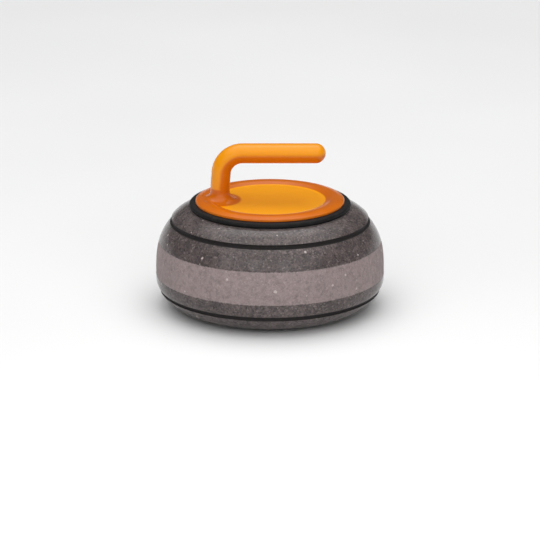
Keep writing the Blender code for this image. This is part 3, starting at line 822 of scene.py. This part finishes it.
def bore_sleeve(look):
    bottom, top = low("bore_sleeve").z, high("bore_sleeve").z
    outline = rounded(ring_corners(5.2, BORE_RADIUS - GAP, bottom, top, 0.5))
    sleeve = turned("bolt_sleeve", divided(outline, 12), 96)
    return settle(sleeve, "stone", look, "nylon", "bore_sleeve")


def seat_collar(look):
    ledge, spigot_hole, bolt_hole = SPIGOT_BOTTOM - 2, 9.3, 5.2
    corners = [
        (SEAT_RADIUS, SEAT_TOP, 1.1),
        (SEAT_RADIUS, SEAT_BOTTOM, 0.5),
        (bolt_hole, SEAT_BOTTOM, 0.4),
        (bolt_hole, ledge, 0.4),
        (spigot_hole, ledge, 0.3),
        (spigot_hole, SEAT_TOP, 0.9),
    ]
    collar = turned("spigot_collar", divided(rounded(corners), 5), 128)
    return settle(collar, "stone", look, "nylon", "seat_collar")


# Centre bolt and its washers


def centre_bolt(look):
    """Square head with a chamfered face, plain shank and a cut thread at the top."""
    head_top = BOLT_HEAD_BOTTOM + 6.4
    across, thread_depth, thread_bottom = 15.9, 0.85, BOLT_TIP - 22
    corner_r, face_r = prism_corner(2, across), 7.6
    shank = [(BOLT_RADIUS, BOLT_TIP - 1), (BOLT_RADIUS, thread_bottom - 2)]
    corners = (
        [(0, BOLT_TIP, 0), (BOLT_RADIUS - 1, BOLT_TIP, 0.2)]
        + sharp(shank)
        + [(BOLT_RADIUS, head_top, 0.6), (corner_r, head_top, 0.4)]
        + sharp([(corner_r, BOLT_HEAD_BOTTOM), (face_r, BOLT_HEAD_BOTTOM), (0, BOLT_HEAD_BOTTOM)])
    )
    outline = rounded(corners, closed=False)
    threaded = [p for p in outline if p[1] > thread_bottom]
    plain = [p for p in outline if p[1] <= thread_bottom]
    outline = divided(threaded + plain[:1], 0.2, closed=False)[:-1] + divided(plain, 2.5, closed=False)

    def shape(r, z, around):
        if z < head_top + 0.01 and r > face_r:
            return prism_face(around, 2, across, face_r, r)
        if z < head_top + 0.01:
            return np.full(len(around), float(r))
        cut = thread(z, around, BOLT_PITCH, thread_depth) * fade(z, thread_bottom, BOLT_TIP + 9, 1.6)
        return np.minimum(r, BOLT_RADIUS - cut)

    bolt = turned("head_bolt", outline, 96, shape, closed=False, smooth_deg=24)
    return settle(chamfered(bolt, BOLT_HEAD_BOTTOM, face_r, 2.1), "stone", look, "zinc_steel", "centre_bolt")


def flat_rings(steel_look, rubber_look):
    """The bolt's cushion washer and flat washer, with their edges rounded by the press."""
    for name, node, look, slot, softness in (
        ("cushion_washer", "bolt_cushion_washer", rubber_look, "rubber", 0.6),
        ("flat_washer", "bolt_flat_washer", steel_look, "zinc_steel", 0.35),
    ):
        bottom, top = low(node).z, high(node).z
        outline = rounded(ring_corners(5.2, high(node).x, bottom, top, softness))
        settle(turned(name, divided(outline, 3), 128), "stone", look, slot, node)


def lock_washer(look):
    """A split spring washer, with one end of the wire a little above the other."""
    node = "bolt_lock_washer"
    bottom, top, outer, inner = low(node).z, high(node).z, 8.6, 5.2
    gap_angle, split_at, twist, steps = math.radians(9), math.radians(40), 0.22, 132
    section = rounded(ring_corners(inner, outer, bottom + twist, top - twist, 0.3))
    count = len(section)
    points, faces = [], []
    for i in range(steps + 1):
        share = i / steps
        angle = split_at + gap_angle / 2 + (TURN - gap_angle) * share
        rise = twist * (2 * share - 1)
        points += [(r * math.cos(angle), r * math.sin(angle), z + rise) for r, z in section]
    for i in range(steps):
        faces += ring_faces(i * count, (i + 1) * count, count)
    faces += [tuple(range(count)), tuple(range(steps * count, (steps + 1) * count))]
    washer = piece_from("spring_washer", points, faces)
    return settle(washer, "stone", look, "zinc_steel", node)


# Gasket


def handle_gasket(look):
    """Rubber ring with a bulging outer edge and a moulded line round its middle."""
    middle = (GASKET_BOTTOM + GASKET_TOP) / 2
    corners = [
        (GASKET_OUTER - 0.1, GASKET_TOP, 2.8),
        (GASKET_OUTER - 0.1, middle + 0.25, 0.15),
        (GASKET_OUTER, middle, 0.15),
        (GASKET_OUTER - 0.1, middle - 0.25, 0.15),
        (GASKET_OUTER - 0.1, GASKET_BOTTOM, 2.8),
        (GASKET_INNER, GASKET_BOTTOM, 0.5),
        (GASKET_INNER, GASKET_TOP, 0.5),
    ]
    gasket = turned("rubber_ring", divided(rounded(corners), 3), 256)
    return settle(gasket, "gasket", look, "rubber", "handle_gasket")


# Handle moulding


def cap_outline():
    """The cap's section from its middle, over the rim and back to the middle underneath.

    Also the place in it where the rim's edge starts to turn down.
    """
    corners = [
        (0, CAP_Z, 0),
        (DISH_RADIUS - 1, CAP_Z + 0.2, 12),
        (CREST_RADIUS - 5, CAP_Z + 3.5, 14),
        (CREST_RADIUS + 3, CAP_Z + 3.5, 16),
        (CAP_RADIUS, CAP_Z + 1.2, 3.4),
        (CAP_RADIUS, RIM_BOTTOM, 0.4),
        (SKIRT_OUTER, RIM_BOTTOM, 0.3),
        (SKIRT_OUTER, SKIRT_BOTTOM, 0.5),
        (SKIRT_INNER, SKIRT_BOTTOM, 0.5),
        (SKIRT_INNER, UNDERSIDE_Z, 0.6),
        (HUB_BOSS_R, UNDERSIDE_Z, 1),
        (HUB_BOSS_R, BOSS_BOTTOM, 0.5),
        (0, BOSS_BOTTOM, 0),
    ]
    outline = rounded(corners, closed=False, arc_step=math.radians(4))
    return outline, next(i for i, (r, z) in enumerate(outline) if r > CAP_RADIUS - 3)


def ellipse(radius):
    around = angles(HANDLE_SEGMENTS)
    return np.stack(
        [NECK_X + radius * np.cos(around), ARM_WIDENING * radius * np.sin(around)], axis=1
    )


def cap_angles():
    """Azimuths where rays from the neck meet the rim, so that lines out from its foot don't cross."""
    around, rim = angles(HANDLE_SEGMENTS), CAP_RADIUS - 3
    ray_x, ray_y = np.cos(around), ARM_WIDENING * np.sin(around)
    square, half = ray_x**2 + ray_y**2, NECK_X * ray_x
    reach = (np.sqrt(half**2 - square * (NECK_X**2 - rim**2)) - half) / square
    return np.arctan2(reach * ray_y, NECK_X + reach * ray_x)


def circle(radius):
    around = cap_angles()
    return np.stack([radius * np.cos(around), radius * np.sin(around)], axis=1)


def dish_edge():
    """A ring at the dish's edge that swells outwards to pass round the neck's foot."""
    off_neck = (math.pi - np.abs(cap_angles())) / math.radians(27)
    radii = DISH_RADIUS + 1 + 19 * np.exp(-(off_neck**2))
    return circle(1) * radii[:, None]


def cap_top_rings(top):
    """Rings (x, y, z) from the neck's wall, down its flare and out over the cap to the rim."""
    top_r, top_z = np.array(top).T

    def on_cap(flat, rise=0.0, share=1.0):
        above_dish = np.interp(np.hypot(flat[:, 0], flat[:, 1]), top_r, top_z) - CAP_Z
        return np.column_stack([flat, CAP_Z + rise + share * above_dish])

    rings = []
    flare_steps, fan_steps, edge_steps = 22, 40, 32
    for i in range(flare_steps + 1):
        angle = math.pi / 2 * i / flare_steps
        out = FLARE_RADIUS * (1 - math.cos(angle))
        rise = FLARE_RADIUS * (1 - math.sin(angle))
        rings.append(on_cap(ellipse(NECK_RADIUS + out), rise, (i / flare_steps) ** 1.5))
    foot, edge, rim = ellipse(NECK_RADIUS + FLARE_RADIUS), dish_edge(), circle(top_r[-1])
    for i in range(1, fan_steps + 1):
        share = (i / fan_steps) ** 1.15
        rings.append(on_cap(foot + (edge - foot) * share))
    for i in range(1, edge_steps + 1):
        rings.append(on_cap(edge + (rim - edge) * i / edge_steps))
    return rings


def arm_stations():
    """(x, z, heading from upright, radius) up the gooseneck and along the grip."""
    stations = []
    x, z = NECK_X, CAP_Z + FLARE_RADIUS

    def radius_at(height):
        share = (height - CAP_Z - FLARE_RADIUS) / (GRIP_Z - CAP_Z - FLARE_RADIUS)
        return NECK_RADIUS + (GRIP_RADIUS - NECK_RADIUS) * share

    def arc(x, z, start, end, radius, steps):
        for i in range(1, steps + 1):
            heading = start + (end - start) * i / steps
            place_x = x + radius * (math.cos(start) - math.cos(heading))
            place_z = z + radius * (math.sin(heading) - math.sin(start))
            stations.append((place_x, place_z, heading, radius_at(place_z)))
        return place_x, place_z

    x, z = arc(x, z, 0, LEAN, LEAN_RADIUS, 6)
    rise = GRIP_Z - z - BEND_RADIUS * (1 - math.sin(LEAN))
    for i in range(1, 5):
        share = i / 5
        spot = (x + rise * share * math.tan(LEAN), z + rise * share)
        stations.append((*spot, LEAN, radius_at(spot[1])))
    x, z = arc(x + rise * math.tan(LEAN), z + rise, LEAN, math.pi / 2, BEND_RADIUS, 34)
    straight_end = GRIP_END_X - GRIP_RADIUS
    for i in range(1, 41):
        stations.append((x + (straight_end - x) * i / 40, GRIP_Z, math.pi / 2, GRIP_RADIUS))
    for i in range(1, 16):
        angle = math.pi / 2 * i / 16
        spot = straight_end + GRIP_RADIUS * math.sin(angle)
        stations.append((spot, GRIP_Z, math.pi / 2, GRIP_RADIUS * math.cos(angle)))
    return stations


def arm_ring(x, z, heading, radius):
    """A ring round the arm, with the mould's parting line as a faint ridge in the plane Y = 0."""
    around = angles(HANDLE_SEGMENTS)
    ridge = min(PARTING_RIDGE, radius * 0.02)
    radii = np.full(HANDLE_SEGMENTS, radius - ridge)
    radii[[0, HANDLE_SEGMENTS // 2]] += ridge
    inward = radii * np.cos(around)
    return np.column_stack(
        [
            x + inward * math.cos(heading),
            ARM_WIDENING * radii * np.sin(around),
            z - inward * math.sin(heading),
        ]
    )


def moulding_skin():
    """The moulding's closed outer skin: grip, gooseneck, flare, cap, rim and underside."""
    outline, rim_start = cap_outline()
    rings = [arm_ring(*station) for station in arm_stations()[::-1]]
    rings += cap_top_rings(outline[: rim_start + 1])
    underside = divided(outline[rim_start:], 6, closed=False)[1:]
    for r, z in underside[:-1]:
        rings.append(np.column_stack([circle(r), np.full(HANDLE_SEGMENTS, z)]))
    points = np.concatenate(rings)
    faces = []
    for i in range(len(rings) - 1):
        faces += ring_faces(i * HANDLE_SEGMENTS, (i + 1) * HANDLE_SEGMENTS, HANDLE_SEGMENTS)
    tips = len(points)
    points = np.concatenate([points, [(GRIP_END_X, 0, GRIP_Z), (0, 0, BOSS_BOTTOM)]])
    faces += fan_faces(0, tips, HANDLE_SEGMENTS)
    faces += fan_faces((len(rings) - 1) * HANDLE_SEGMENTS, tips + 1, HANDLE_SEGMENTS)
    return piece_from("handle_shell", points, faces)


def moulding_struts(bm):
    """Screw bosses, the neck's foot boss and radial ribs, all under the cap."""
    into_cap = UNDERSIDE_Z + 1
    for x, y in round_places(SCREW_CIRCLE_R, SCREW_COUNT, 30):
        add_prism(bm, x, y, BOSS_BOTTOM, into_cap, 5.3, 48, 5.7)
    add_prism(bm, NECK_X, 0, BOSS_BOTTOM, into_cap, 12.8, 72, 13.2)
    for k in range(SCREW_COUNT):
        if k != SCREW_COUNT // 2:
            corner = (HUB_BOSS_R - 1, -1.25, BOSS_BOTTOM + 1.5)
            add_box(bm, corner, (PLATE_RADIUS + 2, 1.25, into_cap), TURN * k / SCREW_COUNT)


def moulding_pockets(bm):
    """Pilot holes for the plate screws, the bush's hexagon and the core's flange."""
    below = BOSS_BOTTOM - 1
    for x, y in round_places(SCREW_CIRCLE_R, SCREW_COUNT, 30):
        add_prism(bm, x, y, below, high("plate_screw_1").z + 0.9, 2.3, 32)
    hexagon = (13 + GAP) / math.cos(math.pi / 6)
    add_prism(bm, 0, 0, below, BUSH_TOP + GAP, hexagon, 6)
    add_prism(bm, NECK_X, 0, below, BOSS_BOTTOM + 3 + GAP, 9.3, 64)


def core_stations(bottom, end_x):
    """The arm's centreline from a height below the cap to the rod's end."""
    stations = [(NECK_X, bottom, 0.0), (NECK_X, CAP_Z + FLARE_RADIUS, 0.0)]
    stations += [s[:3] for s in arm_stations() if s[0] < end_x - 2]
    return stations + [(end_x, GRIP_Z, math.pi / 2)]


def swept(name, stations, radii, segments):
    """A closed round bar through (x, z, heading) stations, with a radius or radii at each."""
    around = angles(segments)
    points = []
    for (x, z, heading), radius in zip(stations, radii):
        inward = radius * np.cos(around)
        side = radius * np.sin(around)
        points += zip(x + inward * math.cos(heading), side, z - inward * math.sin(heading))
    faces = []
    for i in range(len(stations) - 1):
        faces += ring_faces(i * segments, (i + 1) * segments, segments)
    faces += [tuple(range(segments)), tuple(range(len(points) - segments, len(points)))]
    return piece_from(name, points, faces)


def handle_moulding(look):
    shell = moulding_skin()
    boolean(shell, helper("struts", moulding_struts), "UNION")
    boolean(shell, helper("pockets", moulding_pockets), "DIFFERENCE")
    route = core_stations(BOSS_BOTTOM - 1, CORE_END_X + GAP)
    cavity = swept("cavity", route, [CORE_RADIUS + GAP] * len(route), 48)
    boolean(shell, cavity, "DIFFERENCE")
    return settle(shell, "handle", look, "orange_plastic", "handle_moulding")


# Handle's metal pieces


def handle_core(look):
    """Bent steel rod, threaded at its foot, with the flange that bears on the hub plate."""
    bottom = low("handle_core").z
    thread_top, flange_top = 127.6, BOSS_BOTTOM + 3
    stations, radii = [], []
    around = angles(64)

    def upright(z, radius):
        stations.append((NECK_X, z, 0.0))
        radii.append(radius)

    upright(bottom, CORE_RADIUS - 1)
    steps = int((thread_top - bottom) / 0.2)
    for i in range(steps + 1):
        z = bottom + 0.7 + (thread_top - bottom - 0.7) * i / steps
        cut = thread(z, around, CORE_PITCH, 0.6) * fade(z, bottom - 2, thread_top, 1)
        upright(z, CORE_RADIUS - cut)
    upright(BOSS_BOTTOM, CORE_RADIUS)
    upright(BOSS_BOTTOM, 8.6)
    upright(BOSS_BOTTOM + 0.4, 9)
    upright(flange_top - 0.4, 9)
    upright(flange_top, 8.6)
    upright(flange_top, CORE_RADIUS)
    rest = core_stations(flange_top, CORE_END_X - 0.8)[1:]
    stations += rest + [(CORE_END_X, GRIP_Z, math.pi / 2)]
    radii += [CORE_RADIUS] * len(rest) + [CORE_RADIUS - 0.8]
    core = swept("core_rod", stations, radii, 64)
    return settle(core, "handle", look, "zinc_steel", "handle_core")


def hub_plate(look):
    outline = rounded(ring_corners(9.3, PLATE_RADIUS, PLATE_BOTTOM, PLATE_TOP, 0.35))
    plate = turned("joining_plate", divided(outline, 12), 192)

    def holes(bm):
        below, above = PLATE_BOTTOM - 2, PLATE_TOP + 2
        for x, y in round_places(SCREW_CIRCLE_R, SCREW_COUNT, 30):
            add_prism(bm, x, y, below, above, 2.3, 32)
        add_prism(bm, NECK_X, 0, below, above, CORE_RADIUS + GAP, 48)
        for x, y in round_places(30, SCREW_COUNT):
            add_prism(bm, x, y, below, above, 6)

    boolean(plate, helper("plate_holes", holes), "DIFFERENCE")
    return settle(plate, "handle", look, "zinc_steel", "hub_plate")


def thread_bush(look):
    """Hexagon flange over the plate and a spigot under it, with an internal thread."""
    across, face_r, spigot_r, hole_r = 26, 12.4, 9, BOLT_RADIUS + GAP
    corner_r = prism_corner(3, across)
    hole_top = BOLT_TIP + 2
    corners = [
        (0, BUSH_TOP, 0),
        (face_r, BUSH_TOP, 0),
        (corner_r, BUSH_TOP, 0),
        (corner_r, BOSS_BOTTOM, 0.3),
        (spigot_r, BOSS_BOTTOM, 0.3),
        (spigot_r, SPIGOT_BOTTOM, 0.9),
        (hole_r + 0.6, SPIGOT_BOTTOM, 0),
        (hole_r, SPIGOT_BOTTOM + 0.6, 0),
        (hole_r, hole_top, 0.3),
        (0, hole_top, 0),
    ]
    outline = rounded(corners, closed=False)
    split = next(i for i, (r, z) in enumerate(outline) if r < hole_r + 0.3 and i > 3)
    outline = divided(outline[: split + 1], 1.5, closed=False)[:-1] + divided(
        outline[split:], 0.2, closed=False
    )

    def shape(r, z, around):
        if r > face_r:
            return prism_face(around, 3, across, face_r, r)
        if r > hole_r - 0.05 and r < hole_r + 0.05:
            cut = thread(z, around, BOLT_PITCH, 0.8) * fade(z, SPIGOT_BOTTOM - 3, hole_top - 1, 1)
            return r - 0.8 * fade(z, SPIGOT_BOTTOM + 0.4, hole_top - 1, 0.8) + cut
        return np.full(len(around), float(r))

    bush = turned("brass_bush", outline, 96, shape, closed=False)
    return settle(chamfered(bush, BUSH_TOP, face_r, -2.9), "handle", look, "brass", "thread_bush")


def core_nut(look):
    """Hexagon nut, chamfered at both faces, with its thread cut right through."""
    bottom, top = low("core_nut").z, high("core_nut").z
    across, face_r, hole_r = 15, 7.2, CORE_RADIUS + GAP
    corner_r = prism_corner(3, across)
    outside = [(face_r, top), (corner_r, top), (corner_r, bottom), (face_r, bottom)]
    bore = [
        (hole_r + 0.5, bottom),
        (hole_r, bottom + 0.5),
        (hole_r, top - 0.5),
        (hole_r + 0.5, top),
    ]

    def shape(r, z, around):
        if r > face_r:
            return prism_face(around, 3, across, face_r, r)
        if r < hole_r + 0.02:
            inside = fade(z, bottom + 0.3, top - 0.3, 0.6)
            return r - 0.45 * inside + thread(z, around, CORE_PITCH, 0.45) * inside
        return np.full(len(around), float(r))

    nut = turned("rod_nut", outside + divided(bore, 0.25, closed=False), 96, shape)
    nut = chamfered(chamfered(nut, top, face_r, -1.75), bottom, face_r, 1.75)
    return settle(moved(nut, NECK_X), "handle", look, "zinc_steel", "core_nut")


def core_washer(look):
    bottom, top = low("core_washer").z, high("core_washer").z
    outline = rounded(ring_corners(CORE_RADIUS + GAP, 8.5, bottom, top, 0.3))
    washer = moved(turned("rod_washer", divided(outline, 2), 96), NECK_X)
    return settle(washer, "handle", look, "zinc_steel", "core_washer")


def plate_screws(look):
    """Six pan-head screws with a cross recess and a coarse thread, sharing one mesh."""
    top = PLATE_BOTTOM - GAP
    head_bottom, tip = low("plate_screw_1").z, high("plate_screw_1").z
    outline = rounded(
        [(0, tip, 0), (2, tip - 1.6, 0.2), (2, top, 0.15), (4, top, 0.25), (4, head_bottom, 1.4)]
        + [(0, head_bottom, 0)],
        closed=False,
    )
    shank_end = next(i for i, (r, z) in enumerate(outline) if z < top + 0.5)
    outline = divided(outline[: shank_end + 1], 0.2, closed=False)[:-1] + divided(
        outline[shank_end:], 1, closed=False
    )

    def shape(r, z, around):
        if z > top + 0.2 and r > 0:
            cut = thread(z, around, SCREW_PITCH, 0.5) * fade(z, top + 0.4, tip + 3, 0.6)
            return np.maximum(r - cut, 0.15)
        return np.full(len(around), float(r))

    def recess(bm):
        add_cross(bm, head_bottom - 1, head_bottom + 1.3, 2.2, 0.45)

    first = turned("cross_screw_1", outline, 48, shape, closed=False)
    boolean(first, helper("cross", recess), "DIFFERENCE")
    for k, (x, y) in enumerate(round_places(SCREW_CIRCLE_R, SCREW_COUNT, 30), 1):
        screw = first if k == 1 else bpy.data.objects.new(f"cross_screw_{k}", first.data)
        if k > 1:
            bpy.context.scene.collection.objects.link(screw)
        screw.location = (x * MM, y * MM, 0)
        if k == 1:
            first.data.materials.clear()
            first.data.materials.append(look)
        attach(screw, "handle")
        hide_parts(f"plate_screw_{k}")


# Studio


def aimed(obj, place, target):
    obj.location = place
    obj.rotation_euler = (Vector(target) - Vector(place)).to_track_quat("-Z", "Y").to_euler()
    return obj


def camera():
    """A long lens at the drawing's viewing angle, 16.5 degrees above the stone."""
    elevation, dip, distance, aim_z = math.radians(16.5), math.radians(1.113), 3.0, 0.106
    data = bpy.data.cameras.new("camera")
    data.lens = 157.9
    data.clip_start, data.clip_end = 0.1, 60
    obj = bpy.data.objects.new("camera", data)
    bpy.context.scene.collection.objects.link(obj)
    obj.location = (0, -distance * math.cos(elevation), aim_z + distance * math.sin(elevation))
    obj.rotation_euler = (math.pi / 2 - elevation - dip, 0, 0)
    bpy.context.scene.camera = obj


def softbox(name, place, size, watts, colour=(1, 1, 1)):
    data = bpy.data.lights.new(name, "AREA")
    data.shape = "RECTANGLE"
    data.size, data.size_y = size
    data.energy = watts
    data.color = colour
    obj = bpy.data.objects.new(name, data)
    bpy.context.scene.collection.objects.link(obj)
    return aimed(obj, place, (0, 0, 0.08))


def around_stone(azimuth_deg, elevation_deg, distance):
    """A place seen from the stone: azimuth 0 is towards the camera and 90 towards +X."""
    azimuth, elevation = math.radians(azimuth_deg), math.radians(elevation_deg)
    return (
        distance * math.sin(azimuth) * math.cos(elevation),
        -distance * math.cos(azimuth) * math.cos(elevation),
        distance * math.sin(elevation),
    )


def softboxes():
    """A wide curved bank in front, and a weak box high up behind for the cap's dish."""
    for k, azimuth in enumerate((-34, 0, 34), 1):
        softbox(f"front_{k}", around_stone(azimuth, 30, 2.3), (1.6, 1.2), 7.6)
    softbox("back", around_stone(180, 70, 2.6), (1.8, 1.0), 6)


def sky():
    """A pale horizon where the floor ends, a dim belt over it and a bright ceiling."""
    world = bpy.data.worlds.new("studio")
    world.use_nodes = True
    tree = world.node_tree
    direction = tree.nodes.new("ShaderNodeTexCoord").outputs["Generated"]
    separate = tree.nodes.new("ShaderNodeSeparateXYZ")
    tree.links.new(direction, separate.inputs[0])
    made = tree.nodes.new("ShaderNodeValToRGB")
    tree.links.new(separate.outputs[2], made.inputs[0])
    stops = [(0.0, 0.72), (0.04, 0.7), (0.15, 0.08), (0.6, 0.08), (0.86, 1.95)]
    while len(made.color_ramp.elements) < len(stops):
        made.color_ramp.elements.new(0.5)
    for element, (height, grey) in zip(made.color_ramp.elements, stops):
        element.position = height
        element.color = (grey, grey, grey, 1)
    background = tree.nodes["Background"]
    tree.links.new(made.outputs[0], background.inputs["Color"])
    background.inputs["Strength"].default_value = 1.0
    bpy.context.scene.world = world


def studio():
    """Pale floor, pale world and soft lights."""
    softboxes()
    sky()
    look = Look("studio_floor", Roughness=0.7, Specular_IOR_Level=0.2)
    tone = look.spread(look.noise(900, 2), 0.3, 0.7)
    colour = look.mix(tone, (0.8, 0.8, 0.8, 1), (0.83, 0.83, 0.83, 1))
    floor = turned("studio_floor", [(0, 0), (12000, 0), (12000, -5), (0, -5)], 64, closed=False)
    floor.data.materials.append(look.finish(colour))
    bpy.context.scene.view_settings.view_transform = "Standard"


def build():
    granite, fine, orange = polished_granite(), fine_granite(), orange_plastic()
    black, steel, yellow = rubber(), zinc_steel(), brass()
    resin, white = epoxy(), nylon()
    granite_body(granite)
    running_insert(fine)
    insert_bond(resin)
    bore_sleeve(white)
    seat_collar(white)
    centre_bolt(steel)
    flat_rings(steel, black)
    lock_washer(steel)
    handle_gasket(black)
    handle_moulding(orange)
    handle_core(steel)
    hub_plate(steel)
    thread_bush(yellow)
    core_nut(steel)
    core_washer(steel)
    plate_screws(steel)


camera()
studio()
build()
